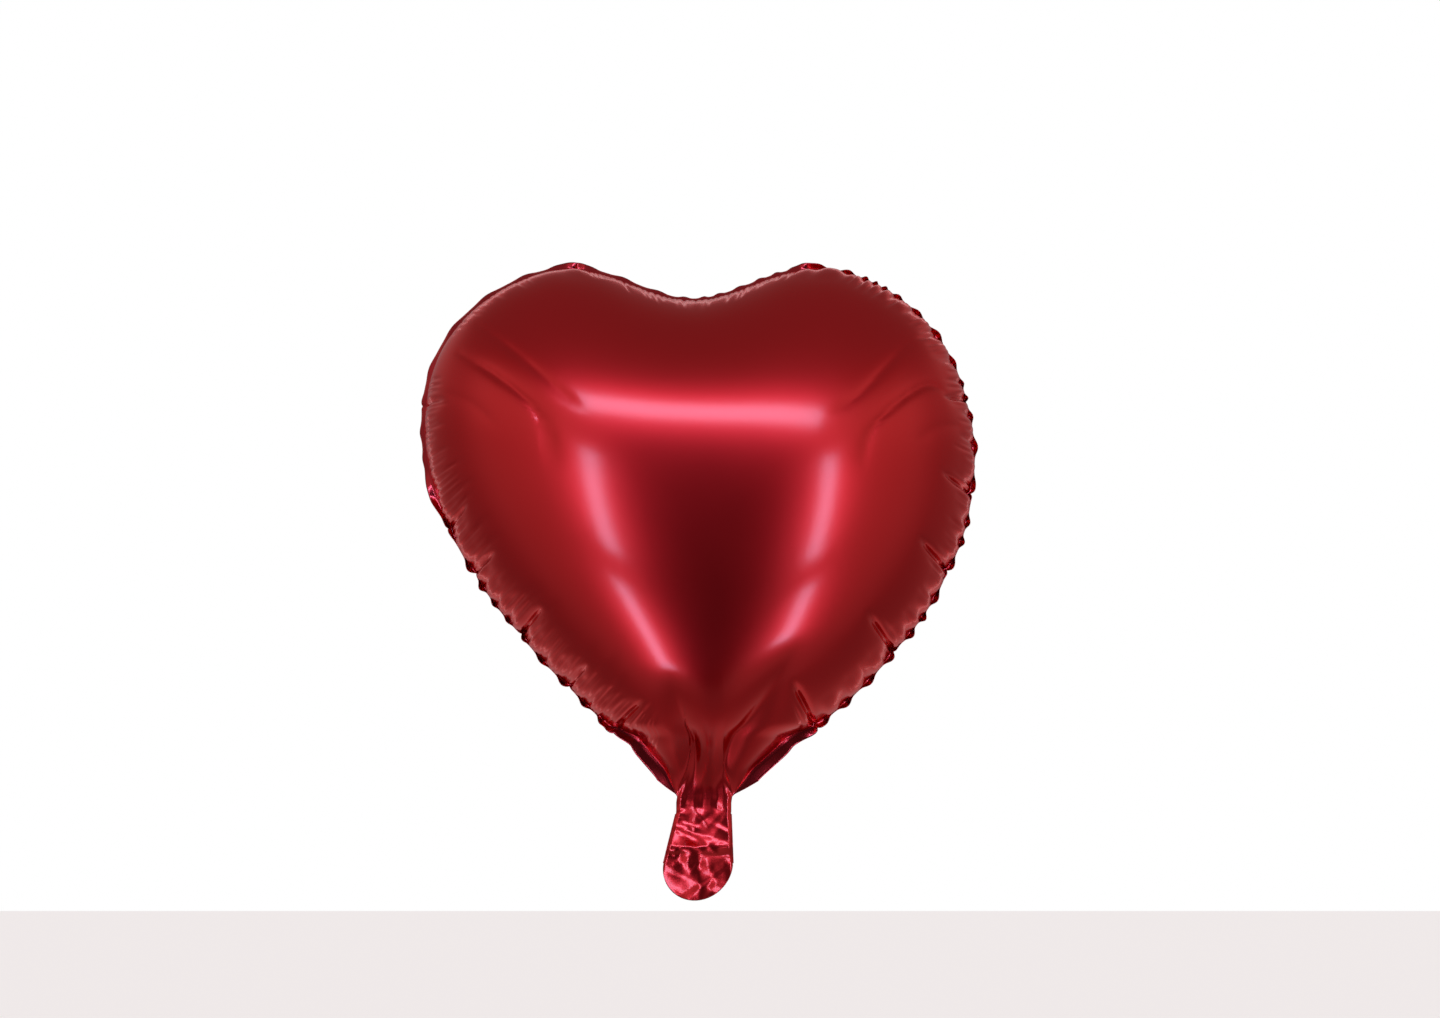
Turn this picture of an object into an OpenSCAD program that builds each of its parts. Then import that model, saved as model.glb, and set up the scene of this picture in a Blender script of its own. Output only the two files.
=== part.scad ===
// Heart-shaped foil balloon: two metallised film panels welded round their edge,
// a flattened neck, a round-ended tail and a self-sealing film valve inside.
// Frame: +Z up, front panel faces -Y, origin where a ribbon ties round the neck.

/* [Envelope] */
// Width across the seam line when inflated
seam_w = 339; // [300:1:380]
// Height of the lobe tops above the neck tie when inflated
lobe_z = 331; // [300:1:360]
// Depth of the notch between the lobes
notch = 20; // [10:1:40]
// Depth of the inflated body, front to rear
body_d = 208; // [170:1:230]
// How far the body sways sideways between its tip and its lobes
sway_x = 7; // [0:0.5:10]
// Thickness that stands in for the film of one panel
film_t = 0.6; // [0.5:0.05:0.7]

/* [Edge seam] */
// Width of the flat welded band outside the seam line
band_w = 5; // [4:0.5:7]

/* [Neck] */
// Width of the flattened neck
neck_w = 34; // [30:1:40]
// Height of the neck, half above and half below the tie
neck_h = 8; // [6:0.5:10]

/* [Tail] */
// Widest part of the tail
tail_w = 43; // [38:1:48]
// Distance from the tie to the end of the tail
tail_len = 60; // [54:1:70]
// Sideways lean of the tail, in degrees
tail_lean = 6; // [0:1:8]
// Width of the welds along the tail's sides
tail_weld = 3; // [2:0.5:3.5]

/* [Valve] */
// Thickness that stands in for one valve film
valve_t = 0.3; // [0.2:0.05:0.3]
// Height of the valve's lips inside the body
lip_h = 52; // [40:1:60]
// Distance from the tail's end to the valve films
mouth_inset = 6; // [4:1:12]

/* [Hidden] */

foil = "firebrick";
seam_foil = "darkred";
clear_film = "lightgrey";

half_w = seam_w / 2;
neck_top = neck_h / 2;
neck_wall = 2;               // width of the neck's closed side edges
valve_w = neck_w - 8;        // the valve films are narrower than the neck
slot_y = film_t;             // half the slot between the plies
ply_y = slot_y + film_t;     // outer face of a tail ply and of the neck
rim_y = film_t / 2;          // where a panel's rim sits on the edge seam
dome_d = body_d / 2 - rim_y; // how far one panel bulges
crown_z = 0.604 * lobe_z;    // height of the deepest point
sleeve_top = neck_top + film_t;
hinge_z = -neck_top - 1;     // crease where the tail folds
tail_top = hinge_z - 2;      // top edge of the tail, clear of the neck as it folds
lip_z = neck_top + 2;        // bottom edge of a valve lip, just above its crease

// Bezier handles of the right half of the seam line: notch, lobe, widest point, neck corner
lobe = [0.46 * half_w, lobe_z];
widest = [half_w, 0.678 * lobe_z];
corner = [neck_w / 2, neck_top];
arcs = [
    [[0, lobe_z - notch], [26, lobe_z - notch], lobe - [30, 0], lobe],
    [lobe, lobe + [20, 0], widest + [0, 85], widest],
    [widest, widest - [0, 120], corner + [2, 16], corner]
];
arc_steps = [7, 12, 15];
rings = 11; // steps from the seam to the crown
neck_steps = 5;

function bezier(p, t) =
    pow(1 - t, 3) * p[0] + 3 * pow(1 - t, 2) * t * p[1] + 3 * (1 - t) * t * t * p[2] + pow(t, 3) * p[3];

// Sideways shift of the body at height z: towards +X near the tip, towards -X at the lobes
sway_low = 75;
sway_high = 305;
function sway(z) = z < sway_low
    ? sway_x * sin(90 * z / sway_low)
    : sway_x * cos(180 * (min(z, sway_high) - sway_low) / (sway_high - sway_low));
function swayed(p) = [p[0] + sway(p[1]), p[1]];

right_side = [for (k = [0:2], i = [0:arc_steps[k] - 1]) bezier(arcs[k], i / arc_steps[k])];
neck_line = [for (i = [0:neck_steps]) [corner[0] * (1 - 2 * i / neck_steps), neck_top]];
left_side = [for (i = [len(right_side) - 1:-1:1]) [-right_side[i][0], right_side[i][1]]];
seam_line = [for (p = concat(right_side, neck_line, left_side)) swayed(p)];
n = len(seam_line);
crown = swayed([0, crown_z]);

// The panels part a little across the neck, to let the valve films through
function is_mouth(i) = i >= len(right_side) && i <= len(right_side) + neck_steps;
function rim_at(i) = is_mouth(i) ? ply_y : rim_y;

// The seam line moved towards the crown by a distance
function inward(p, d) = p - d * (p - crown) / norm(p - crown);

// One skin of a panel, from the seam (ring 0) up to the crown: an elliptical dome over the heart
function skin(line, depth) = concat(
    [
        for (j = [0:rings - 1], i = [0:n - 1])
            let (a = 90 * j / rings, p = crown + (line[i] - crown) * cos(a))
            [p[0], -rim_at(i) - (depth - rim_at(i) + rim_y) * sin(a), p[1]]
    ],
    [[crown[0], -rim_y - depth, crown[1]]]
);

// Triangles between two rings of n points that start at a and b
function strip(a, b) = [
    for (i = [0:n - 1])
        let (k = (i + 1) % n)
        each [[a + i, a + k, b + i], [a + k, b + k, b + i]]
];
function fan(a, tip) = [for (i = [0:n - 1]) [a + i, a + (i + 1) % n, tip]];
function flipped(faces) = [for (f = faces) [f[2], f[1], f[0]]];

module panel() {
    outer = skin(seam_line, dome_d);
    inner = skin([for (p = seam_line) inward(p, film_t)], dome_d - film_t);
    m = len(outer);
    outer_faces = concat([for (j = [0:rings - 2]) each strip(j * n, (j + 1) * n)], fan((rings - 1) * n, m - 1));
    inner_faces = [for (f = flipped(outer_faces)) [f[0] + m, f[1] + m, f[2] + m]];
    rim_faces = flipped(strip(0, m));
    polyhedron(concat(outer, inner), flipped(concat(outer_faces, inner_faces, rim_faces)));
}

// A flat outline in X and Z, from y0 to y1
module plate(y0, y1) {
    translate([0, y1, 0]) rotate([90, 0, 0]) linear_extrude(y1 - y0) children();
}

module front_panel() {
    color(foil) panel();
}

module rear_panel() {
    color(foil) mirror([0, 1, 0]) panel();
}

// The welded band narrows to nothing where it meets the neck
function band_at(p) = band_w * min(1, (p[1] - neck_top) / 20);
function outward(i) =
    let (t = seam_line[(i + 1) % n] - seam_line[(i + n - 1) % n], normal = [-t[1], t[0]] / norm(t))
    seam_line[i] + band_at(seam_line[i]) * normal;

module edge_seam() {
    color(seam_foil) plate(-rim_y, rim_y) difference() {
        polygon([for (i = [0:n - 1]) outward(i)]);
        polygon([for (p = seam_line) inward(p, film_t)]);
        translate([-neck_w / 2, 0]) square([neck_w, sleeve_top]);
    }
}

module neck_sleeve() {
    slot_w = neck_w - 2 * neck_wall;
    sleeve_h = sleeve_top + neck_top;
    color(foil) translate([0, 0, -neck_top]) difference() {
        translate([-neck_w / 2, -ply_y, 0]) cube([neck_w, 2 * ply_y, sleeve_h]);
        translate([-slot_w / 2, -slot_y, -1]) cube([slot_w, 2 * slot_y, sleeve_h + 2]);
    }
}

// Both valve films where they pass through the neck, bonded to its inner faces
module valve_throat_films() {
    color(clear_film) for (y = [-slot_y, slot_y - valve_t])
        translate([-valve_w / 2, y, -neck_top]) cube([valve_w, valve_t, sleeve_top + neck_top]);
}

module lip(y) {
    color(clear_film) translate([-valve_w / 2, y, lip_z]) cube([valve_w, valve_t, lip_h]);
}

module valve_front_lip() {
    lip(-slot_y);
}

module valve_rear_lip() {
    lip(slot_y - valve_t);
}

// Tail outline: straight-sided from the neck to its widest point, then a round end.
// It leans by shearing, so that its top edge stays level with the crease.
end_r = tail_w / 2;
end_z = -tail_len + end_r;
function leaned(p) = [p[0] + (p[1] - hinge_z) * tan(tail_lean), p[1]];
function tail_outline(inset) = let (r = end_r - inset, top = neck_w / 2 - inset) [
    for (p = concat(
        [[-top, tail_top]],
        [for (a = [180:10:360]) [r * cos(a), end_z + r * sin(a)]],
        [[top, tail_top]]
    )) leaned(p)
];

module tail_ply(y0) {
    color(foil) plate(y0, y0 + film_t) polygon(tail_outline(0));
}

module tail_front_ply() {
    tail_ply(-ply_y);
}

module tail_rear_ply() {
    tail_ply(slot_y);
}

// Welds along both sides of the tail; the round end stays open as the filling mouth
module tail_side_welds() {
    color(seam_foil) plate(-slot_y, slot_y) difference() {
        polygon(tail_outline(0));
        polygon(tail_outline(tail_weld));
        translate([-tail_w, -tail_len - 1]) square([2 * tail_w, end_r + 1]);
        translate([leaned([0, tail_top])[0] - neck_w / 2 + tail_weld, tail_top - 1])
            square([neck_w - 2 * tail_weld, 2]);
    }
}

module inlet_film(y0) {
    bottom = -tail_len + mouth_inset;
    color(clear_film) plate(y0, y0 + valve_t) polygon([
        for (p = [
            [-valve_w / 2, tail_top], [-valve_w / 2, bottom], [valve_w / 2, bottom], [valve_w / 2, tail_top]
        ]) leaned(p)
    ]);
}

module valve_inlet_front_film() {
    inlet_film(-slot_y);
}

module valve_inlet_rear_film() {
    inlet_film(slot_y - valve_t);
}

front_panel();
rear_panel();
edge_seam();
neck_sleeve();
valve_throat_films();
valve_front_lip();
valve_rear_lip();
tail_front_ply();
tail_rear_ply();
tail_side_welds();
valve_inlet_front_film();
valve_inlet_rear_film();
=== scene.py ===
"""The looks of the heart-shaped foil balloon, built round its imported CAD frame.

Two film panels are shaped here: a smooth inflated heart, creased and pleated where the weld gathers the
film, running down through the gathered neck into the crumpled tail. Lengths are in millimetres until a
mesh is made, with x to the right, y to the rear and z up from the neck.
"""

import math

import bpy
import numpy as np
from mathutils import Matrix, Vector


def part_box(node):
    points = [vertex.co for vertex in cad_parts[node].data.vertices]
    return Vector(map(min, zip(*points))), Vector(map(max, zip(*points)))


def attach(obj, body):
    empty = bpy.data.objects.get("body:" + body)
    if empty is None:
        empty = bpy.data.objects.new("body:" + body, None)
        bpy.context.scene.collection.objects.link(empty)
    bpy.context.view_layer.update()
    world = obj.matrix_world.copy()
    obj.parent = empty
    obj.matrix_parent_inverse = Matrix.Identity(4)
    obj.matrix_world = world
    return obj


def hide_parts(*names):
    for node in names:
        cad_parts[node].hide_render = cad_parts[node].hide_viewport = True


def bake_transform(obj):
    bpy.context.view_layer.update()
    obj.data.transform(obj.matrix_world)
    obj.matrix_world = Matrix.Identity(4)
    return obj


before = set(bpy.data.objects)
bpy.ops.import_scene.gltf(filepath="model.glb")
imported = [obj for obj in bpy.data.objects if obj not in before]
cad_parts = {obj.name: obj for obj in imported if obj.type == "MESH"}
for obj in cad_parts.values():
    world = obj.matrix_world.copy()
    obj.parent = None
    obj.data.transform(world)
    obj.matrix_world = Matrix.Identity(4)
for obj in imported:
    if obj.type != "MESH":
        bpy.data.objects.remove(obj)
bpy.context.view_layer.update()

MM = 0.001


# ---------------------------------------------------------------- sizes, from the frame
def box_mm(node):
    low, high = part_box(node)
    return np.array(low) / MM, np.array(high) / MM


panel_low, panel_high = box_mm("front_panel")

HALF_W = (panel_high[0] - panel_low[0]) / 2  # of the seam line
LOBE_Z = panel_high[2]
DEPTH = -panel_low[1] - 0.8  # one panel's bulge, a little less than its CAD solid's
BAND_W = box_mm("edge_seam")[1][2] - LOBE_Z
NECK_HALF = box_mm("neck_sleeve")[1][0]
NECK_TOP = panel_low[2]
TAIL_END = box_mm("tail_front_ply")[0][2]
NOTCH = 20.0  # depth of the dip between the lobes
SWAY = 7.0  # how far the body leans to one side at the tip, and to the other at the lobes
CROWN = np.array([0.0, 0.604 * LOBE_Z])  # x and z of the deepest point
FILM = 0.14  # thickness of a film mesh
SEAM_Y = 0.25  # where a panel meets the welded band
HINGE_Z = -5.0  # the crease where the tail folds

# Columns of a panel's mesh: down each side of the seam line, and across the neck
SIDE_STEPS, NECK_STEPS = 516, 48
COLUMNS = 2 * SIDE_STEPS + NECK_STEPS
NECK_FIRST = SIDE_STEPS
NECK_COLUMNS = slice(NECK_FIRST, NECK_FIRST + NECK_STEPS + 1)


# ---------------------------------------------------------------- the seam line
def bezier(points, count):
    """A cubic curve cut into count steps, its end left out."""
    t = np.linspace(0, 1, count, endpoint=False)[:, None]
    a, b, c, d = np.array(points, float)
    return (1 - t) ** 3 * a + 3 * (1 - t) ** 2 * t * b + 3 * (1 - t) * t * t * c + t**3 * d


def even(line, count):
    """The polyline cut into count equal steps, its end left out."""
    run = np.r_[0, np.cumsum(np.linalg.norm(np.diff(line, axis=0), axis=1))]
    at = np.linspace(0, run[-1], count + 1)[:-1]
    return np.c_[np.interp(at, run, line[:, 0]), np.interp(at, run, line[:, 1])]


def sway(z):
    """Sideways shift of the body at height z."""
    low, high = 75.0, 305.0
    up = np.clip((z - low) / (high - low), 0, 1)
    return SWAY * np.where(z < low, np.sin(np.pi / 2 * z / low), np.cos(np.pi * up))


def seam_loop():
    """The seam line, clockwise seen from the front, from the notch down the right side and back."""
    lobe = np.array([0.46 * HALF_W, LOBE_Z])
    widest = np.array([HALF_W, 0.678 * LOBE_Z])
    corner = np.array([NECK_HALF, NECK_TOP])
    arcs = [
        [(0, LOBE_Z - NOTCH), (26, LOBE_Z - NOTCH), lobe - (30, 0), lobe],
        [lobe, lobe + (20, 0), widest + (0, 85), widest],
        [widest, widest - (0, 120), corner + (2, 16), corner],
    ]
    right = even(np.vstack([bezier(a, 300) for a in arcs] + [corner]), SIDE_STEPS)
    neck = even(np.array([corner, corner * (-1, 1)]), NECK_STEPS)
    left = np.vstack([corner, right[:0:-1]]) * (-1, 1)
    loop = np.vstack([right, neck, left])
    loop[:, 0] += sway(loop[:, 1])
    return loop


LOOP = seam_loop()
STEP = np.linalg.norm(np.diff(LOOP[: SIDE_STEPS + 1], axis=0), axis=1).mean()
# Distance along the seam from the notch: positive down the right side, negative down the left one
ALONG = np.r_[np.arange(COLUMNS // 2), np.arange(-(COLUMNS // 2), 0)] * STEP
TANGENT = np.roll(LOOP, -1, axis=0) - np.roll(LOOP, 1, axis=0)
TANGENT /= np.linalg.norm(TANGENT, axis=1)[:, None]
OUTWARD = np.c_[-TANGENT[:, 1], TANGENT[:, 0]]


def seam_at(side, z):
    """Distance along the seam to height z on one flank: side is 1 on the right and -1 on the left.

    A lobe crosses the upper heights twice, and the outer crossing counts. The place is an even column,
    which the panel's coarser rows keep too.
    """
    outer = np.full(COLUMNS, True)
    if z > 0.7 * LOBE_Z:
        outer = np.abs(LOOP[:, 0]) > 0.45 * HALF_W
    flank = outer & (np.sign(ALONG) == side) & (np.abs(ALONG) < (SIDE_STEPS - 2) * STEP)
    nearest = np.flatnonzero(flank)[np.argmin(np.abs(LOOP[flank, 1] - z))]
    return ALONG[nearest // 2 * 2]


# ---------------------------------------------------------------- the smooth inflated body
# Rows of a panel from the weld to the crown, in bands: first row, last row, and the column stride there
BANDS = [(0, 22, 1), (22, 46, 2), (46, 54, 4), (54, 62, 8), (62, 66, 24)]
ROWS = BANDS[-1][1]
# How far the first two bands reach, as shares of the way over the film
FINE_REACH, MIDDLE_REACH = 0.25, 0.55
FLAT_TOP = 0.35  # how much of the dome's profile is a blown-up disc's, the rest being an ellipse's


def row_shares():
    """Each row's distance from the crown as a share of the way to the seam."""
    turn = np.linspace(0, np.pi / 2, 500)
    pace = np.hypot(HALF_W * np.sin(turn), DEPTH * np.cos(turn))
    run = np.r_[0, np.cumsum((pace[1:] + pace[:-1]) / 2)]
    fine, middle = BANDS[0][1], BANDS[1][1]
    rows = np.interp(np.arange(ROWS), [0, fine, middle, ROWS], [0, FINE_REACH, MIDDLE_REACH, 1])
    return np.cos(np.interp(rows, run / run[-1], turn))


def torsion(points, waves=30):
    """A field that is zero on the seam line and bulges evenly inside, as a blown-up membrane does."""
    centre, reach = np.array([0.0, 0.55 * LOBE_Z]), 0.56 * LOBE_Z

    def terms(p):
        w = ((p[..., 0] - centre[0]) + 1j * (p[..., 1] - centre[1])) / reach
        powers = w[..., None] ** np.arange(waves + 1)
        return np.concatenate([powers.real, powers.imag[..., 1:]], axis=-1), -np.abs(w) ** 2 / 4

    on_seam, push = terms(LOOP)
    weights = np.linalg.lstsq(on_seam, -push, rcond=None)[0]
    inside, push_inside = terms(points)
    return inside @ weights + push_inside, on_seam @ weights + push


def mylar_depth(level):
    """Depth of a blown-up film disc, from 0 at its edge to 1, against an ellipse's level."""
    r = np.linspace(0, 1, 2001)[:-1]
    slope = r**2 / np.sqrt(1 - r**4)
    fall = np.cumsum(slope[::-1])[::-1]
    return np.interp(np.sqrt(1 - np.clip(level, 0, 1) ** 2), r, fall / fall[0])


PINCH = 0.16  # share of its width that the body loses between the neck and the lowest creases


def pinch(points):
    """Narrows the body between the neck and the lowest creases, where the film is gathered."""
    z = points[..., -1]
    narrow = PINCH * smoothstep((z - 7) / 15) * (1 - smoothstep((z - 39) / 9))
    points[..., 0] -= narrow * (points[..., 0] - sway(np.clip(z, 0, None)))
    return points


# Distances along the seam where the columns run straight to the crown: the notch, lobes and neck
UPRIGHT = [0, 81, -81, 500, -500]
LEAN_REACH, LEAN_FADE = 25, 45  # how far in from the seam the lean holds, and then fades


def leaning_seam(share):
    """For each row, the seam points its columns run from, moved so that columns follow the creases."""
    at = [seam_at(side, z) for side, z, *_ in DEEP_CREASES] + UPRIGHT
    lean = [row[-1] for row in DEEP_CREASES] + [0] * len(UPRIGHT)
    order = np.argsort(at)
    lean = np.interp(ALONG, np.array(at)[order], np.array(lean)[order])
    ahead = (1 - share[:, None]) * np.linalg.norm(LOOP - CROWN, axis=1)
    shift = lean * ahead * (1 - smoothstep((ahead - LEAN_REACH) / LEAN_FADE))
    place = np.arange(COLUMNS) + shift / STEP / share[:, None]
    spots = [np.interp(place, np.arange(COLUMNS), LOOP[:, k], period=COLUMNS) for k in (0, 1)]
    return np.stack(spots, axis=-1)


def smooth_body():
    """Points of the front panel without its creases: [row, column, xyz], and the crown."""
    share = row_shares()
    plane = CROWN + (leaning_seam(share) - CROWN) * share[:, None, None]
    field, error = torsion(plane)
    field = field - error[None] * share[:, None] ** 8
    top = torsion(CROWN[None])[0][0]
    level = np.sqrt(np.clip(field / top, 0, None))
    depth = DEPTH * ((1 - FLAT_TOP) * level + FLAT_TOP * mylar_depth(level))
    body = np.stack([plane[..., 0], -depth, plane[..., 1]], axis=-1)
    crown = np.array([CROWN[0], -DEPTH, CROWN[1]])
    return body, crown


def smoothstep(x):
    """Rises smoothly from 0 at x = 0 to 1 at x = 1, and is level beyond them."""
    x = np.clip(x, 0, 1)
    return x * x * (3 - 2 * x)


# ---------------------------------------------------------------- creases and pleats at the weld
RIGHT, LEFT = 1, -1
# side, height, depth, shoulder, length, lean: the deep creases that both panels share
DEEP_CREASES = [
    (RIGHT, 247, 3.4, 7.0, 20, -0.2),
    (RIGHT, 190, 5.6, 9.0, 25, -0.36),
    (RIGHT, 142, 6.6, 10.0, 29, -0.32),
    (RIGHT, 92, 6.6, 10.0, 29, -0.1),
    (RIGHT, 47, 6.8, 10.0, 31, 0.13),
    (LEFT, 246, 2.8, 7.0, 16, 0.2),
    (LEFT, 170, 3.4, 8.0, 18, 0.45),
    (LEFT, 142, 4.0, 8.0, 20, 0.2),
    (LEFT, 103, 6.0, 10.0, 26, 0.0),
    (LEFT, 72, 4.0, 8.0, 20, -0.27),
    (LEFT, 45, 6.0, 10.0, 26, -0.55),
]
# side, from height, to height, pitch, depth, length: runs of fine pleats
FINE_PLEATS = [
    (LEFT, 30, 120, 3.6, 1.25, 34),
    (LEFT, 120, 200, 3.4, 1.15, 28),
    (LEFT, 200, 262, 3.8, 1.0, 18),
    (RIGHT, 60, 180, 5.0, 0.6, 14),
    (RIGHT, 180, 262, 4.4, 0.9, 16),
    (RIGHT, 262, 326, 3.6, 1.1, 16),
    (LEFT, 290, 326, 3.8, 0.7, 12),
]
# The pleats between the lobes: distance along the seam either way, pitch, depth, length
NOTCH_PLEATS = (68, 3.5, 1.2, 14)
DEEP_RIM, DEEP_BROAD = 0.45, 0.3  # a deep crease's rim and broad, as cut_crease says
# The small crease beside each deep one: its rim, and its depth and length as shares of the deep one's
BESIDE_RIM, BESIDE_DEPTH, BESIDE_LENGTH = 0.2, 0.2, 0.6
FINE_SHOULDER = 7.0
REAR_PLEATS = 0.6  # the rear panel's pleats are shallower by this factor


def cusp(offset, shoulder, soft=0.7):
    """Cross-section of a crease: 1 in its sharp valley, falling away over its rounded shoulders."""
    return np.exp(-(np.sqrt(offset**2 + soft**2) - soft) / shoulder)


def cut_crease(dent, inset, ahead, share, at, depth, shoulder, length, rim, broad):
    """Adds one crease that starts at a distance along the seam.

    Its length is as seen from the front: ahead is the distance from the seam seen that way, and inset is
    the distance over the film. Rim is its share of depth on the seam, and broad is the share of its depth
    that spreads over its shoulders.
    """
    reach, full_depth_at = 6 * shoulder, 14
    near = np.abs(ALONG - at) < reach
    run = ahead[:, near] / length
    offset = (ALONG[near] - at) * share[:, None]
    fade = 1 - smoothstep((run - 0.4) / 0.6)
    start = rim + (1 - rim) * smoothstep(inset[:, near] / full_depth_at)
    valley = 0.1 * shoulder * (1 + 0.3 * run)
    groove = (1 - broad) * cusp(offset, valley, 0.3) + broad * cusp(offset, shoulder, 1.0)
    dent[:, near] += depth * fade * start * groove


def pleat_run(rng, first, last, pitch, depth, length):
    """Places and sizes of the fine pleats between two distances along the seam."""
    at, last = min(first, last), max(first, last)
    while at < last:
        yield at, depth * rng.uniform(0.4, 1.2), length * rng.uniform(0.35, 1.15)
        at += pitch * rng.uniform(0.7, 1.35)


def seam_creases(body, share, seed, fine):
    """How far the weld's creases and pleats sink each point of a panel, and its distance from the seam.

    Fine scales the depth of the pleats.
    """
    inset = np.r_[[np.zeros(COLUMNS)], np.cumsum(np.linalg.norm(np.diff(body, axis=0), axis=2), axis=0)]
    ahead = np.linalg.norm(body[..., [0, 2]] - LOOP, axis=2)
    dent = np.zeros(body.shape[:2])
    rng = np.random.default_rng(seed)
    film = (dent, inset, ahead, share)
    for side, z, depth, shoulder, length, _ in DEEP_CREASES:
        length = length * rng.uniform(0.9, 1.1)
        at = seam_at(side, z)
        cut_crease(*film, at, depth, shoulder, length, DEEP_RIM, DEEP_BROAD)
        beside = at + rng.choice([-1, 1]) * rng.uniform(5, 9)
        size = BESIDE_DEPTH * depth, FINE_SHOULDER, BESIDE_LENGTH * length
        cut_crease(*film, beside, *size, BESIDE_RIM, 0)
    runs = [(seam_at(side, low), seam_at(side, high), *size) for side, low, high, *size in FINE_PLEATS]
    either_way, *size = NOTCH_PLEATS
    runs.append((-either_way, either_way, *size))
    for run in runs:
        for at, depth, length in pleat_run(rng, *run):
            cut_crease(*film, at, fine * depth, FINE_SHOULDER, length, 0, 0)
    return dent, inset


# ---------------------------------------------------------------- long folds across the panel
# The points in x and z that a fold runs through, its depth and its shoulder
FRONT_FOLDS = [
    ([(-138, 291), (-112, 269), (-86, 245), (-73, 232)], 0.6, 2.2),
    ([(-149, 273), (-121, 253), (-101, 234), (-92, 214), (-88, 192)], 1.1, 2.2),
    ([(124, 278), (102, 252), (90, 240), (76, 230)], 0.6, 2.2),
    ([(147, 250), (135, 252), (113, 236), (99, 218), (94, 192)], 1.1, 2.2),
    ([(-160, 250), (-140, 240), (-122, 222)], 0.4, 4),
    ([(160, 230), (142, 226), (126, 214)], 0.4, 4),
]
REAR_FOLDS = [
    ([(-158, 272), (-118, 258), (-96, 226), (-96, 196)], 1.0, 8),
    ([(150, 290), (116, 262), (98, 236), (90, 204)], 1.2, 8),
    ([(120, 300), (100, 272), (86, 250)], 0.7, 9),
    ([(-168, 236), (-144, 226), (-126, 206)], 0.8, 7),
]


def long_folds(body, folds):
    """How far soft folds, drawn as lines in x and z, sink each point of a panel."""
    dent = np.zeros(body.shape[:2])
    flat = body[..., [0, 2]]
    for line, depth, shoulder in folds:
        path = catmull(np.array(line, float), 40)
        share = np.linspace(0, 1, len(path))
        gap = np.linalg.norm(flat[:, :, None] - path, axis=-1)
        near = gap.argmin(axis=2)
        fade = (0.4 + 0.6 * smoothstep(share[near] / 0.2)) * (1 - smoothstep((share[near] - 0.7) / 0.3))
        dent += depth * fade * cusp(gap.min(axis=2), shoulder, 0.8)
    return dent


def catmull(points, count):
    """A smooth line through the points."""
    p = np.vstack([2 * points[0] - points[1], points, 2 * points[-1] - points[-2]])
    t = np.linspace(0, 1, count // (len(points) - 1), endpoint=False)[:, None]
    parts = []
    for a, b, c, d in zip(p, p[1:], p[2:], p[3:]):
        square, cube = 2 * a - 5 * b + 4 * c - d, 3 * b - a - 3 * c + d
        parts.append(0.5 * (2 * b + (c - a) * t + square * t**2 + cube * t**3))
    return np.vstack(parts + [points[-1:]])


# ---------------------------------------------------------------- the gathered neck
# Where on the neck each gather starts, its depth, how far up it runs, its width, and how far below the
# neck's top the point is that it fans out from
GATHERS = [
    (-7.0, 11.5, 80, 6.5, 24),
    (6.0, 12.5, 100, 6.5, 12),
]


def gathers(x, z, flip):
    """How far the neck's gathers sink a point, on the neck and fanning out above it.

    Flip is 1 for the front panel and -1 for the rear one, whose gathers are mirrored.
    """
    on_neck, widening, below_hinge = 0.4, 3.2, 14
    middle = sway(np.clip(z, 0, None))
    dent = np.zeros(np.shape(x))
    for at, depth, run, width, focus in GATHERS:
        spread = np.maximum(z - NECK_TOP, 0) / focus + 1
        offset = (x - middle) * flip - at * spread
        rise = np.clip((z - NECK_TOP) / run, 0, 1)
        size = (on_neck + (depth - on_neck) * smoothstep(rise * 3)) * (1 - smoothstep((rise - 0.2) / 0.8))
        dent += size * cusp(offset, width * (1 + widening * rise), 1.6)
    return dent * (1 - smoothstep((HINGE_Z - z) / below_hinge))


def neck_distance(flat):
    """Distance of points in x and z from the line where the film enters the neck."""
    middle = sway(NECK_TOP)
    beyond = np.maximum(np.abs(flat[..., 0] - middle) - NECK_HALF, 0)
    return np.hypot(beyond, flat[..., 1] - NECK_TOP)


# ---------------------------------------------------------------- the crumpled tail
TAIL_ROWS, NECK_ROWS = 84, 12  # rows of the neck and tail together, and of the neck alone
HALF_TAIL = 21.5
LEAN = math.tan(math.radians(6))
PLY_GAP = 0.85  # half the space between the plies at the neck, beyond the weld's


def tail_plan():
    """Grid of the tail from the top of the neck to its round end: share across, x and z."""
    across = np.linspace(1, -1, NECK_STEPS + 1)
    upper = np.linspace(NECK_TOP, HINGE_Z, NECK_ROWS + 1)[:-1]
    down = np.linspace(0, 1, TAIL_ROWS - NECK_ROWS)[:, None]
    end_z = TAIL_END + HALF_TAIL
    bottom = end_z - HALF_TAIL * np.cos(np.pi / 2 * across)
    z = np.vstack([np.repeat(upper[:, None], len(across), axis=1), HINGE_Z + down * (bottom - HINGE_Z)])
    down = np.vstack([np.zeros((NECK_ROWS, 1)), down])
    part = (1 - down) * across + down * np.sin(np.pi / 2 * across)
    widen_from = HINGE_Z - 2
    half = NECK_HALF + (HALF_TAIL - NECK_HALF) * np.clip((widen_from - z) / (widen_from - end_z), 0, 1)
    x = half * part + np.where(z < HINGE_Z, (z - HINGE_Z) * LEAN, sway(np.maximum(z, 0)))
    return across, x, z


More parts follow.
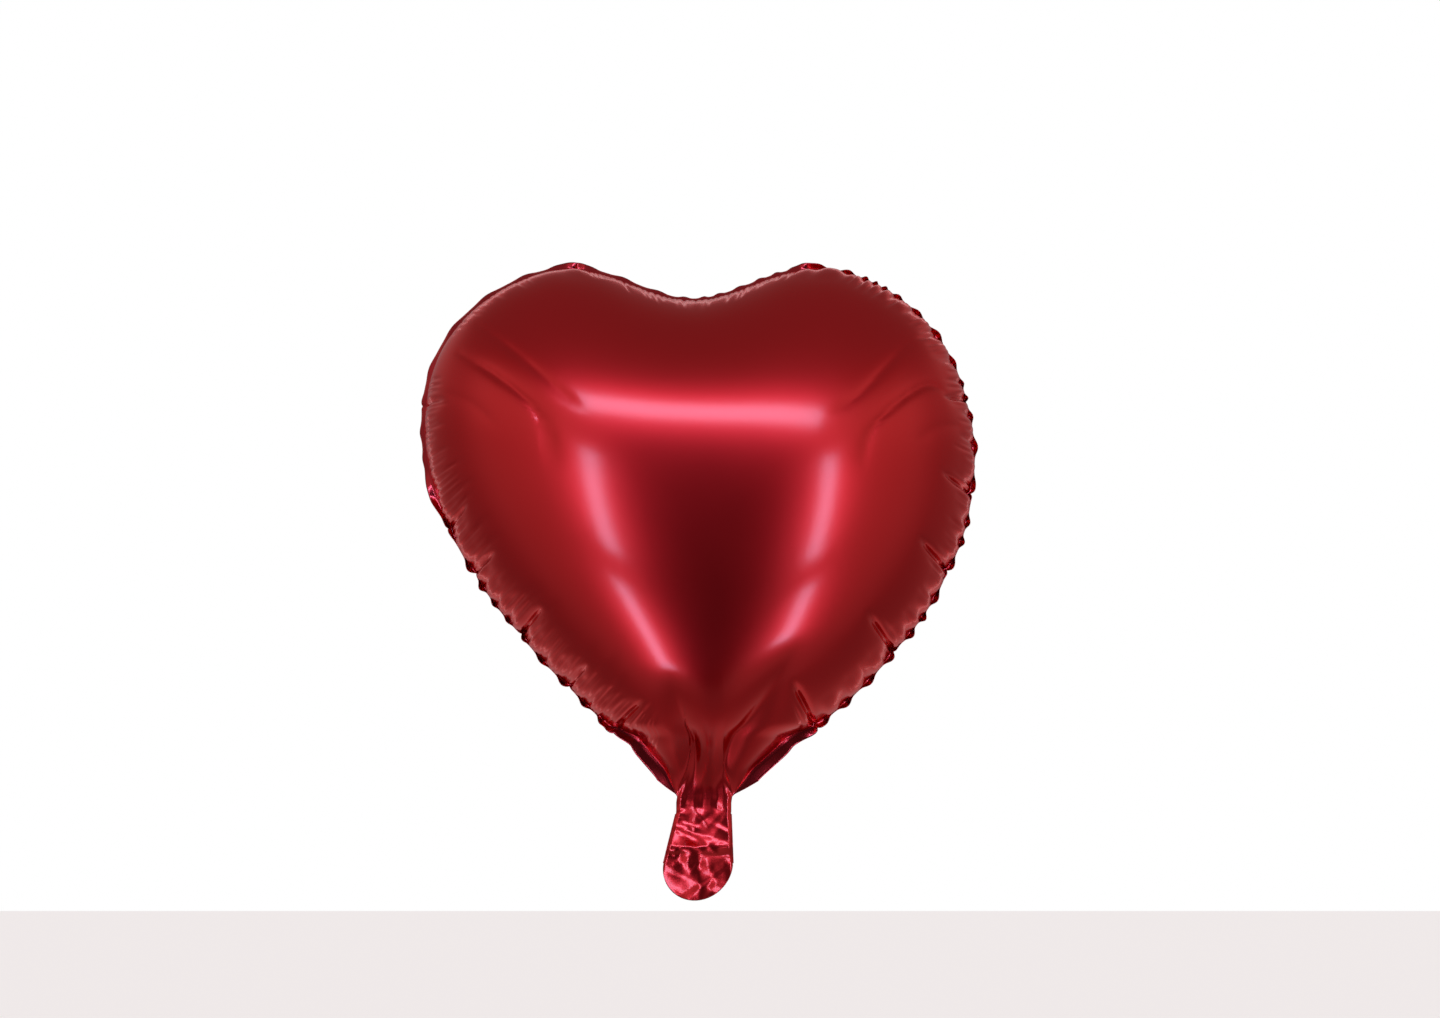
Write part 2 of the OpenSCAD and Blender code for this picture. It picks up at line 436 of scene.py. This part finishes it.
# The tail's folds: a point in x and z, the direction across the fold in degrees, the turn's size, and
# whether it crosses the whole tail (0), only its lower part (-1) or only its upper part (1)
TAIL_FOLDS = [
    ((-2, -30), 87, 0.32, 0),
    ((-3, -40), 3, 0.34, -1),
    ((6, -44), 122, -0.30, -1),
    ((2, -50), 128, 0.26, -1),
    ((-13, -44), 60, 0.20, -1),
    ((12, -34), 35, 0.18, -1),
    ((14, -48), 8, -0.16, -1),
    ((-10, -14), 28, -0.18, 1),
    ((9, -16), 150, 0.22, 1),
    ((1, -20), 75, -0.22, 1),
    ((-12, -22), 40, 0.18, 1),
]
SMALL_CREASES = 64  # short random creases between the folds


def crumple(x, z, soft=0.45):
    """The shared middle surface of the crumpled tail: waves and facets that meet in sharp folds."""
    y = 0.32 * np.sin(x / 3.1 + z / 5.3 + 1) + 0.3 * np.sin(z / 3.7 - x / 6.1)
    zones = {0: 1, -1: smoothstep((-26 - z) / 7), 1: smoothstep((z + 34) / 7)}
    for (px, pz), angle, turn, zone in TAIL_FOLDS:
        a = math.radians(angle)
        across = (x - px) * math.cos(a) + (z - pz) * math.sin(a)
        y += turn * np.sqrt(across**2 + soft**2) * zones[zone]
    rng = np.random.default_rng(11)
    for _ in range(SMALL_CREASES):
        px, pz, a = rng.uniform(-20, 16), rng.uniform(-57, 0), rng.uniform(0, math.pi)
        across = (x - px) * math.cos(a) + (z - pz) * math.sin(a)
        along = -(x - px) * math.sin(a) + (z - pz) * math.cos(a)
        y += rng.uniform(-1.2, 1.2) * cusp(across, 1.9, 0.35) * np.exp(-((along / 7) ** 2))
    return y


def level_plane():
    """The plane nearest the crumpled tail: its height at the origin and its slopes in x and z."""
    _, x, z = tail_plan()
    sheet = np.c_[np.ones(x.size), x.ravel(), z.ravel()]
    return np.linalg.lstsq(sheet, crumple(x, z).ravel(), rcond=None)[0]


# The folds that run down through the neck: place across it, depth and shoulder
NECK_FOLDS = [
    (-11, 0.35, 1.8),
    (-6, -0.3, 1.6),
    (-1, 0.45, 1.8),
    (4.5, -0.25, 1.6),
    (8, 0.4, 1.8),
    (12, -0.25, 1.6),
]
CRUMPLE = 0.55  # scales the depth of the tail's crumpling


def tail_middle(x, z):
    """Depth of the middle surface of the neck, with its folds, and of the crumpled tail below it."""
    base, slope_x, slope_z = level_plane()
    y = crumple(x, z) - base - slope_x * x - slope_z * z
    y = CRUMPLE * y * smoothstep((NECK_TOP - z) / 8)
    centre = sway(np.maximum(z, 0))
    folds = sum(depth * cusp(x - centre - at, shoulder, 0.3) for at, depth, shoulder in NECK_FOLDS)
    return y + folds * (1 - smoothstep((-1 - z) / 8))


def tail_ply(side):
    """One ply of the neck and tail, [row, column, xyz]: side is -1 for the front and 1 for the rear."""
    across, x, z = tail_plan()
    edge_share, tail_run = 0.16, 50
    closed = smoothstep((1 - np.abs(across)) / edge_share)
    puff = 0.7 + 0.9 * np.sin(np.pi * np.clip((HINGE_Z - z) / tail_run, 0, 1)) ** 2
    gap = np.where(z > HINGE_Z, PLY_GAP, PLY_GAP + (puff - PLY_GAP) * smoothstep((HINGE_Z - z) / 10))
    swell = 3.0 * smoothstep((z - HINGE_Z + 12) / 12)
    ridges = np.maximum(swell - gathers(x, z, -side) * 1.9, 0) * 0.2
    y = SEAM_Y + closed * (gap + ridges)
    return np.stack([x, side * y + tail_middle(x, z), z], axis=-1)


# ---------------------------------------------------------------- the welded band's ruffle
def smooth_noise(rng, pitch):
    """A smooth random value by column, whose waves are about pitch columns long."""
    knots = rng.uniform(-1, 1, int(COLUMNS / pitch) + 4)
    at = np.linspace(0, len(knots) - 4.001, COLUMNS)
    i = at.astype(int)
    t = at - i
    return knots[i + 1] * (1 - smoothstep(t)) + knots[i + 2] * smoothstep(t)


# Pitch of the band's slivers: on the upper right, elsewhere, and how much it varies
UPPER_RIGHT_PITCH, PITCH, PITCH_VARIES = 14, 21, 9
CURL_FRONT, CURL_REAR = -86, 58  # the band's turn where it curls each way, in degrees
SLIVER_TURN, SLIVER_VARIES = 30, 12  # how far a sliver turns back from the front curl, and how that varies


def ruffle():
    """By column: the welded band's turn about the seam line in degrees, the seam's weave, and the gaps.

    The band mostly curls towards the front and shows as short slivers, and the gaps are where the film
    swells past it between them. It lies towards the rear on the upper left and between the lobes, and
    flat beside the neck.
    """
    rng = np.random.default_rng(5)
    order = np.argsort(ALONG)
    x, height = LOOP[:, 0], LOOP[:, 1]
    pitch = np.where((x > 0) & (height > 215), UPPER_RIGHT_PITCH, PITCH)[order]
    pitch = pitch + PITCH_VARIES * smooth_noise(rng, 30)
    phase = np.empty(COLUMNS)
    phase[order] = np.cumsum(STEP / pitch) * 2 * np.pi
    bump = (0.5 + 0.5 * np.sin(phase)) ** 1.6
    size = np.empty(COLUMNS)
    size[order] = SLIVER_TURN + SLIVER_VARIES * smooth_noise(rng, 26)
    beside_neck = 1 - smoothstep((height - 42) / 12)
    on_left = smoothstep((-x - 60) / 40) * smoothstep((height - 165) / 50)
    notch = 1 - smoothstep((np.abs(ALONG) - 62) / 26)
    rearward = np.maximum(on_left, notch)
    front = CURL_FRONT + bump * size
    rear = CURL_REAR - 14 * bump
    turn = front + (rear - front) * rearward
    turn += (-6 + 5 * np.sin(phase * 0.4) - turn) * beside_neck
    weave = np.sin(phase + 0.5) * smoothstep((height - 30) / 30) * (1 - 0.7 * rearward)
    return turn, weave, (1 - bump) * (1 - rearward) * (1 - beside_neck)


TURN, WEAVE, GAPS = ruffle()
WEAVE_Y = 1.1  # how far the seam weaves to the front and rear
GAP_SWELL = 1.7  # how far the film swells out at a gap
EDGE_COLUMNS = np.r_[NECK_FIRST + NECK_STEPS : COLUMNS, 0 : NECK_FIRST + 1]


# ---------------------------------------------------------------- a whole panel
def panel_normals(body):
    """Outward unit normals of the smooth panel, level with the weld along the seam."""
    wide = np.roll(body, -1, axis=1) - np.roll(body, 1, axis=1)
    deep = np.gradient(body, axis=0)
    normal = np.cross(wide, deep)
    normal /= np.linalg.norm(normal, axis=2)[..., None]
    normal *= np.sign(-normal[..., 1:2])
    seam = np.c_[OUTWARD[:, 0], np.zeros(COLUMNS), OUTWARD[:, 1]]
    seam[NECK_COLUMNS] = (0, -1, 0)
    level_rows = 4
    blend = (1 - smoothstep(np.arange(ROWS) / level_rows))[:, None, None]
    normal = normal * (1 - blend) + seam * blend
    return normal / np.linalg.norm(normal, axis=2)[..., None]


NECK_ALONG, NECK_REACH = 540, 27  # the neck's middle along the seam, and how far it reaches from there
RIM_REACH, NECK_RIM_REACH = 9, 32  # how far in the rim's place is felt, at the weld and at the neck


def panel_body(side, folds, seed):
    """The creased dome of one panel, [row, column, xyz], and its crown."""
    body, crown = smooth_body()
    normal = panel_normals(body)
    dent, inset = seam_creases(body, row_shares(), seed, 1.0 if side < 0 else REAR_PLEATS)
    dent += long_folds(body, folds) * smoothstep(inset / 12)
    dent -= GAP_SWELL * GAPS * smoothstep(inset / 11) * (1 - smoothstep((inset - 14) / 26))
    flat = body[..., [0, 2]]
    far = neck_distance(flat)
    dent *= smoothstep((far - 6) / 20)
    funnel = np.tanh(far / 25) ** 0.95
    body[..., 1] *= funnel
    apart = smoothstep(inset / 16)
    apart[:, NECK_COLUMNS] = 1
    dent += gathers(flat[..., 0], flat[..., 1], -side) * smoothstep(far / 5) * apart
    body -= dent[..., None] * normal
    rim = np.full(COLUMNS, -SEAM_Y)
    rim[NECK_COLUMNS] = side * -tail_ply(side)[0, :, 1]
    across = np.abs(LOOP[:, 0] - sway(NECK_TOP)) / NECK_HALF
    on_neck = smoothstep((1 - across) / 0.3) * (np.abs(np.abs(ALONG) - NECK_ALONG) < NECK_REACH)
    near = 1 - smoothstep(inset / (RIM_REACH + (NECK_RIM_REACH - RIM_REACH) * on_neck))
    body[..., 1] += rim * near
    body[..., 1] = np.minimum(body[..., 1], rim * near - 0.02 * inset)
    body[..., 1] += -side * WEAVE * WEAVE_Y * near
    body = pinch(body)
    body[..., 1] *= -side
    return body, crown * (1, -side, 1)


def stitched(body, crown, tail):
    """Vertices and faces of a panel: rings that thin out towards the crown, and the tail below the neck."""
    spots = [body.reshape(-1, 3), crown[None], tail[1:].reshape(-1, 3)]
    faces = []
    for first, last, stride in BANDS:
        for row in range(first, min(last, ROWS - 1)):
            here = row * COLUMNS + np.arange(0, COLUMNS, stride)
            there = here + COLUMNS
            if row == last - 1:
                wider = next(stride for start, _, stride in BANDS if start == last)
                faces += thinning(here, there, wider // stride)
            else:
                faces += np.c_[here, np.roll(here, -1), np.roll(there, -1), there].tolist()
    last_ring = (ROWS - 1) * COLUMNS + np.arange(0, COLUMNS, BANDS[-1][2])
    tip = ROWS * COLUMNS
    faces += [[a, b, tip] for a, b in zip(last_ring, np.roll(last_ring, -1))]
    wide = NECK_STEPS + 1
    rows = [np.arange(NECK_FIRST, NECK_FIRST + wide)]
    rows += [tip + 1 + r * wide + np.arange(wide) for r in range(len(tail) - 1)]
    for above, below in zip(rows, rows[1:]):
        faces += np.c_[below[:-1], below[1:], above[1:], above[:-1]].tolist()
    return np.vstack(spots), faces


def thinning(here, there, ratio):
    """Faces between a ring and the next one in, which keeps one column in every ratio."""
    faces = []
    for k in range(0, len(here), ratio):
        group = [here[(k + i) % len(here)] for i in range(ratio + 1)]
        a, b = there[k], there[(k + ratio) % len(here)]
        half = (ratio + 1) // 2
        faces += [[group[i], group[i + 1], a] for i in range(half)]
        faces.append([group[half], b, a])
        faces += [[group[i], group[i + 1], b] for i in range(half, ratio)]
    return faces


# ---------------------------------------------------------------- meshes
def solid(points, faces):
    """A closed sheet: the surface, and a copy of it a film's thickness further inside."""
    used = np.unique(np.concatenate([np.asarray(f) for f in faces]))
    index = np.full(len(points), -1)
    index[used] = np.arange(len(used))
    points = points[used]
    faces = [[int(index[i]) for i in f] for f in faces]
    edges, normal = {}, np.zeros(points.shape)
    for size in (3, 4):
        group = np.array([f for f in faces if len(f) == size])
        if len(group):
            first, second, third, last = (points[group[:, k]] for k in (0, 1, 2, -1))
            cross = np.cross(third - first, last - second)
            for k in range(size):
                np.add.at(normal, group[:, k], cross)
    for face in faces:
        for a, b in zip(face, face[1:] + face[:1]):
            if edges.pop((b, a), None) is None:
                edges[(a, b)] = True
    normal /= np.maximum(np.linalg.norm(normal, axis=1), 1e-9)[:, None]
    count = len(points)
    inner = points - normal * FILM
    walls = [[b, a, a + count, b + count] for a, b in edges]
    turned = [[i + count for i in f[::-1]] for f in faces]
    return np.vstack([points, inner]), faces + turned + walls


def add_mesh(name, points, faces, material):
    """A new piece in the scene, from points in millimetres."""
    mesh = bpy.data.meshes.new(name)
    mesh.from_pydata((points * MM).tolist(), [], faces)
    mesh.shade_smooth()
    mesh.materials.append(material)
    mesh.validate()
    piece = bpy.data.objects.new(name, mesh)
    bpy.context.scene.collection.objects.link(piece)
    return piece


def grid_faces(rows, columns):
    """Four-sided faces between the points of a grid, numbered row by row."""
    index = np.arange(rows * columns).reshape(rows, columns)
    quads = np.stack([index[:-1, :-1], index[:-1, 1:], index[1:, 1:], index[1:, :-1]], axis=-1)
    return quads.reshape(-1, 4).tolist()


def foil_panel(name, side, folds, seed, material):
    """A whole panel, and its rim: side is -1 for the front and 1 for the rear."""
    body, crown = panel_body(side, folds, seed)
    tail = tail_ply(side)
    points, faces = stitched(body, crown, tail)
    if side < 0:
        faces = [f[::-1] for f in faces]
    piece = add_mesh(name, *solid(points, faces), material)
    return piece, body[0]


def welded_edge(rims, material):
    """The welded band outside the seam line, ruffled where the inflated heart has shortened it.

    Each face of the band starts on a panel's rim, and a little inside it, so that no gap is left.
    """
    root_width, half_thick, steps = 0.8, 0.16, 7
    base = ((rims[0] + rims[1]) / 2)[EDGE_COLUMNS]
    out = np.c_[OUTWARD[:, 0], np.zeros(COLUMNS), OUTWARD[:, 1]][EDGE_COLUMNS]
    height = base[:, 2] - NECK_TOP
    width = BAND_W * np.clip(height / 15, 0.04, 1) * (1.5 - 0.5 * smoothstep((height - 30) / 14))
    turn = np.radians(TURN[EDGE_COLUMNS])
    share = np.linspace(0, 1, steps)
    layers = []
    for rim, lift in zip(rims, (-half_thick, half_thick)):
        root = rim[EDGE_COLUMNS]
        rows = [root - root_width * out, root]
        spine = base
        for a, b in zip(share, share[1:]):
            angle = turn * (0.7 + 0.5 * b)
            away = np.cos(angle)[:, None] * out + np.sin(angle)[:, None] * (0, 1, 0)
            face = -np.sin(angle)[:, None] * out + np.cos(angle)[:, None] * (0, 1, 0)
            spine = spine + (b - a) * width[:, None] * away
            rows.append(spine + lift * face)
        layers.append(np.stack(rows))
    return closed_strip("welded_edge", layers, material)


def closed_strip(name, layers, material):
    """A thin closed sheet from its two faces, each a [row, column, xyz] grid."""
    rows, columns = layers[0].shape[:2]
    count = rows * columns
    points = np.vstack([layers[0].reshape(-1, 3), layers[1].reshape(-1, 3)])
    faces = grid_faces(rows, columns)
    index = np.arange(count).reshape(rows, columns)
    rim = np.r_[index[0], index[1:, -1], index[-1, -2::-1], index[-2:0:-1, 0]]
    back = [[i + count for i in f[::-1]] for f in faces]
    walls = [[b, a, a + count, b + count] for a, b in zip(rim, np.roll(rim, -1))]
    return add_mesh(name, points, faces + back + [[int(i) for i in w] for w in walls], material)


def tail_weld(name, side, material):
    """The weld down one side of the tail: side is 1 on the right and -1 on the left."""
    width, overhang, half_thick, inner_step = 2.8, 0.5, 0.18, 4
    first_row, rows_left_open = 16, 3
    _, x, z = tail_plan()
    rows = slice(first_row, len(z) - rows_left_open)
    y = tail_middle(x, z)
    edge, inner = (0, inner_step) if side > 0 else (NECK_STEPS, NECK_STEPS - inner_step)
    edge_x, edge_z, edge_y, inner_y = x[rows, edge], z[rows, edge], y[rows, edge], y[rows, inner]
    layers = []
    for lift in (-half_thick, half_thick):
        grid = []
        for inset in np.linspace(-overhang, width, 5):
            share = np.clip(inset / width, 0, 1)
            depth = edge_y * (1 - share) + inner_y * share + lift
            grid.append(np.c_[edge_x - side * inset, depth, edge_z])
        layers.append(np.stack(grid))
    return closed_strip(name, layers, material)


def valve_film(name, side, material):
    """One clear valve film from the neck to just inside the tail's mouth."""
    half, top, bottom = 13.0, NECK_TOP + 0.6, TAIL_END + 6
    rows, columns = 96, 41
    z = np.repeat(np.linspace(top, bottom, rows)[:, None], columns, axis=1)
    middle = np.where(z < HINGE_Z, (z - HINGE_Z) * LEAN, sway(np.maximum(z, 0)))
    x = middle + half * np.linspace(-1, 1, columns)
    depth = tail_middle(x, z)
    inner, outer = side * 0.2, side * 0.3
    layers = [np.stack([x, depth + lift, z], axis=-1) for lift in (inner, outer)]
    return closed_strip(name, layers, material)


# ---------------------------------------------------------------- materials
def new_material(name):
    """A material, its nodes, their links and its surface shader."""
    material = bpy.data.materials.new(name)
    material.use_nodes = True
    nodes = material.node_tree.nodes
    return material, nodes, material.node_tree.links, nodes["Principled BSDF"]


def noise(nodes, links, scale, detail, stretch=(1, 1, 1)):
    """A noise texture fixed to the piece, its scale in cycles per metre."""
    where = nodes.new("ShaderNodeTexCoord")
    fit = nodes.new("ShaderNodeMapping")
    fit.inputs["Scale"].default_value = stretch
    texture = nodes.new("ShaderNodeTexNoise")
    texture.inputs["Scale"].default_value = scale
    texture.inputs["Detail"].default_value = detail
    links.new(where.outputs["Object"], fit.inputs["Vector"])
    links.new(fit.outputs["Vector"], texture.inputs["Vector"])
    return texture


def spread(nodes, links, source, low, high):
    """The source's 0.15 to 0.85 mapped to low to high."""
    fit = nodes.new("ShaderNodeMapRange")
    fit.inputs["From Min"].default_value = 0.15
    fit.inputs["From Max"].default_value = 0.85
    fit.inputs["To Min"].default_value = low
    fit.inputs["To Max"].default_value = high
    links.new(source, fit.inputs["Value"])
    return fit.outputs["Result"]


def mottle(nodes, links, scale, detail, dark, light):
    """A colour that drifts between two close ones."""
    patches = noise(nodes, links, scale, detail)
    mix = nodes.new("ShaderNodeMix")
    mix.data_type = "RGBA"
    mix.inputs["A"].default_value = (*dark, 1)
    mix.inputs["B"].default_value = (*light, 1)
    links.new(spread(nodes, links, patches.outputs["Fac"], 0, 1), mix.inputs["Factor"])
    return mix.outputs["Result"]


def foil_material(name, dark, light, rough, coat_rough, ripple):
    """Red metallised film: a tinted mirror under a clear glossy face, a little sharper on the tail."""
    above_neck, below_neck, sharper = 0.012, -0.006, 0.03
    material, nodes, links, shader = new_material(name)
    links.new(mottle(nodes, links, 9, 3, dark, light), shader.inputs["Base Color"])
    haze = noise(nodes, links, 34, 4)
    height = nodes.new("ShaderNodeSeparateXYZ")
    links.new(haze.inputs["Vector"].links[0].from_socket, height.inputs["Vector"])
    tail = nodes.new("ShaderNodeMapRange")
    for socket, value in zip(tail.inputs[1:5], (above_neck, below_neck, 0, sharper)):
        socket.default_value = value
    links.new(height.outputs["Z"], tail.inputs["Value"])
    less = nodes.new("ShaderNodeMath")
    less.operation = "SUBTRACT"
    links.new(spread(nodes, links, haze.outputs["Fac"], rough - 0.01, rough + 0.01), less.inputs[0])
    links.new(tail.outputs["Result"], less.inputs[1])
    links.new(less.outputs["Value"], shader.inputs["Roughness"])
    shader.inputs["Metallic"].default_value = 1.0
    shader.inputs["Specular Tint"].default_value = (1.0, 0.22, 0.26, 1)
    shader.inputs["Coat Weight"].default_value = 0.65
    shader.inputs["Coat IOR"].default_value = 1.5
    shader.inputs["Coat Roughness"].default_value = coat_rough
    grain = noise(nodes, links, 160, 1)
    bump = nodes.new("ShaderNodeBump")
    bump.inputs["Strength"].default_value = ripple
    bump.inputs["Distance"].default_value = 0.0002
    links.new(grain.outputs["Fac"], bump.inputs["Height"])
    links.new(bump.outputs["Normal"], shader.inputs["Normal"])
    return material


def clear_material():
    """Clear polyethylene film, slightly milky."""
    dull, bright = (0.78, 0.80, 0.82), (0.88, 0.90, 0.91)
    material, nodes, links, shader = new_material("clear_valve_film")
    links.new(mottle(nodes, links, 60, 3, dull, bright), shader.inputs["Base Color"])
    shader.inputs["Roughness"].default_value = 0.22
    shader.inputs["Transmission Weight"].default_value = 0.7
    shader.inputs["IOR"].default_value = 1.5
    return material


# ---------------------------------------------------------------- the balloon
FOIL_DARK, FOIL_LIGHT = (0.70, 0.010, 0.013), (0.75, 0.012, 0.016)
# The welded band's colours are a darker copy of the foil's: painted shade, standing in for the darkness the
# band gets from reflecting the dark body beside it.
SHADED_WELD_DARK, SHADED_WELD_LIGHT = (0.58, 0.014, 0.022), (0.66, 0.018, 0.030)
foil = foil_material("red_foil", FOIL_DARK, FOIL_LIGHT, rough=0.32, coat_rough=0.155, ripple=0.004)
weld_foil = foil_material(
    "welded_red_foil", SHADED_WELD_DARK, SHADED_WELD_LIGHT, rough=0.22, coat_rough=0.12, ripple=0.02
)
clear = clear_material()

front, front_rim = foil_panel("front_foil", -1, FRONT_FOLDS, 3, foil)
rear, rear_rim = foil_panel("rear_foil", 1, REAR_FOLDS, 8, foil)
edge = welded_edge((front_rim, rear_rim), weld_foil)
right_weld = tail_weld("tail_weld_right", 1, weld_foil)
left_weld = tail_weld("tail_weld_left", -1, weld_foil)
front_film = valve_film("valve_front_film", -1, clear)
rear_film = valve_film("valve_rear_film", 1, clear)

for piece in (front, rear, right_weld, left_weld, front_film, rear_film):
    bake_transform(piece)
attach(edge, "envelope")

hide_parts("front_panel", "tail_front_ply", "neck_sleeve")
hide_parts("rear_panel", "tail_rear_ply")
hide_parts("edge_seam")
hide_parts("tail_side_welds")
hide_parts("valve_throat_films", "valve_inlet_front_film")
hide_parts("valve_inlet_rear_film")

for lip in ("valve_front_lip", "valve_rear_lip"):
    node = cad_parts[lip]
    node.data.materials.clear()
    node.data.materials.append(clear)


# ---------------------------------------------------------------- camera, light and floor
def aim(thing, target):
    """Turns a camera or light, already in place, to face the target."""
    to = Vector(target) - thing.location
    thing.rotation_euler = to.to_track_quat("-Z", "Y").to_euler()


def add_camera():
    """A long lens in front of the balloon, a little below it."""
    camera = bpy.data.objects.new("camera", bpy.data.cameras.new("camera"))
    bpy.context.scene.collection.objects.link(camera)
    target, distance, rise, lens = (0.010, 0.0, 0.1815), 2.2, math.radians(-5), 88.7
    camera.location = (target[0], -distance * math.cos(rise), target[2] + distance * math.sin(rise))
    camera.data.lens = lens
    aim(camera, target)
    bpy.context.scene.camera = camera


def add_light(name, turn, rise, distance, size, power, tilt, tint):
    """A rectangular softbox seen from the balloon at a turn from its front and a rise, in degrees."""
    middle = 0.18
    data = bpy.data.lights.new(name, "AREA")
    data.shape = "RECTANGLE"
    data.size, data.size_y = size
    data.energy = power * size[0] * size[1]
    data.color = tint
    light = bpy.data.objects.new(name, data)
    bpy.context.scene.collection.objects.link(light)
    turn, rise = math.radians(turn), math.radians(rise)
    flat = distance * math.cos(rise)
    light.location = (flat * math.sin(turn), -flat * math.cos(turn), middle + distance * math.sin(rise))
    aim(light, (0, 0, middle))
    light.rotation_euler.rotate_axis("Z", math.radians(tilt))


def surroundings(nodes, links):
    """Brightness of the grey surroundings by direction.

    They are darkest straight ahead of the balloon, brightest on either side of that, and brighter again
    low down behind it. Overhead and underfoot they are even.
    """
    overhead, underfoot = 0.225, 0.16
    where = nodes.new("ShaderNodeTexCoord")
    split = nodes.new("ShaderNodeSeparateXYZ")
    links.new(where.outputs["Generated"], split.inputs["Vector"])

    def math_node(kind, a, b=None):
        node = nodes.new("ShaderNodeMath")
        node.operation = kind
        for socket, value in zip(node.inputs, (a, b)):
            if isinstance(value, (int, float)):
                socket.default_value = value
            elif value is not None:
                links.new(value, socket)
        return node.outputs["Value"]

    def ramp(value, start, end, low, high):
        node = nodes.new("ShaderNodeMapRange")
        node.interpolation_type = "SMOOTHSTEP"
        for socket, number in zip(node.inputs[1:5], (start, end, low, high)):
            socket.default_value = number
        links.new(value, node.inputs["Value"])
        return node.outputs["Result"]

    def turn_ramp(start, end, low, high):
        return ramp(turn, math.radians(start), math.radians(end), low, high)

    turn = math_node("ARCTAN2", split.outputs["X"], math_node("MULTIPLY", split.outputs["Y"], -1.0))
    turn = math_node("ABSOLUTE", turn)
    rise = split.outputs["Z"]
    around = turn_ramp(14, 38, 0.052, 0.39)
    around = math_node("SUBTRACT", around, turn_ramp(72, 96, 0, 0.15))
    around = math_node("ADD", around, turn_ramp(108, 140, 0, 0.04))
    around = math_node("MULTIPLY", around, ramp(rise, -0.65, 0.0, 0.72, 1))
    around = math_node("MULTIPLY", around, ramp(rise, 0.05, 0.38, 1, 1.45))
    behind = math_node("MULTIPLY", turn_ramp(122, 168, 0, 0.27), ramp(rise, 0.0, -0.4, 0, 1))
    around = math_node("ADD", around, behind)
    for limit, start, end in ((overhead, 0.42, 0.66), (underfoot, -0.93, -0.995)):
        change = math_node("SUBTRACT", limit, around)
        around = math_node("ADD", around, math_node("MULTIPLY", ramp(rise, start, end, 0, 1), change))
    return around


def add_world():
    """Soft grey surroundings, and plain white where the camera sees them."""
    world = bpy.data.worlds.new("studio")
    world.use_nodes = True
    bpy.context.scene.world = world
    nodes, links = world.node_tree.nodes, world.node_tree.links
    nodes.clear()
    around = nodes.new("ShaderNodeBackground")
    around.inputs["Color"].default_value = (1.0, 0.80, 0.79, 1)
    links.new(surroundings(nodes, links), around.inputs["Strength"])
    seen = nodes.new("ShaderNodeBackground")
    seen.inputs["Color"].default_value = (1, 1, 1, 1)
    path = nodes.new("ShaderNodeLightPath")
    choice = nodes.new("ShaderNodeMixShader")
    links.new(path.outputs["Is Camera Ray"], choice.inputs["Fac"])
    links.new(around.outputs["Background"], choice.inputs[1])
    links.new(seen.outputs["Background"], choice.inputs[2])
    output = nodes.new("ShaderNodeOutputWorld")
    links.new(choice.outputs["Shader"], output.inputs["Surface"])


def add_floor():
    """A plain pale floor, well below the floating balloon."""
    size, depth = 60.0, -1.6
    mesh = bpy.data.meshes.new("floor")
    corners = [(-size, -size, depth), (size, -size, depth), (size, size, depth), (-size, size, depth)]
    mesh.from_pydata(corners, [], [(0, 1, 2, 3)])
    material, _, _, shader = new_material("pale_floor")
    shader.inputs["Base Color"].default_value = (0.9, 0.9, 0.9, 1)
    shader.inputs["Roughness"].default_value = 0.9
    shader.inputs["Emission Color"].default_value = (1, 1, 1, 1)
    shader.inputs["Emission Strength"].default_value = 0.62
    mesh.materials.append(material)
    floor = bpy.data.objects.new("floor", mesh)
    bpy.context.scene.collection.objects.link(floor)
    floor.visible_glossy = False
    floor.visible_diffuse = False


add_camera()
add_world()
add_floor()
FRONT_POWER = 17.0  # of a softbox, in watts per square metre
REAR_POWER = FRONT_POWER * 0.12
COOL, WARM = (0.78, 1.4, 2.1), (1.15, 0.82, 0.82)
# name, turn, rise, distance, size, power, tilt, tint
LIGHTS = [
    ("front_bar", 0, 30.5, 3.0, (2.95, 0.38), FRONT_POWER, -5, COOL),
    ("left_upper_strip", -29.5, -3, 2.0, (0.18, 1.05), FRONT_POWER, -7, COOL),
    ("left_lower_strip", -36, -43, 2.0, (0.18, 1.2), FRONT_POWER, -3, COOL),
    ("right_upper_strip", 33, -3, 2.0, (0.18, 1.05), FRONT_POWER, 4, COOL),
    ("right_lower_strip", 41, -38, 2.0, (0.18, 0.85), FRONT_POWER, 12, COOL),
    ("rear_bar", 180, 29, 3.0, (2.9, 0.30), REAR_POWER, 0, WARM),
    ("rear_left_strip", 146, -12, 2.0, (0.16, 1.4), REAR_POWER, 0, WARM),
    ("rear_right_strip", -146, -12, 2.0, (0.16, 1.4), REAR_POWER, 0, WARM),
]
for light in LIGHTS:
    add_light(*light)

bpy.context.scene.view_settings.view_transform = "Standard"
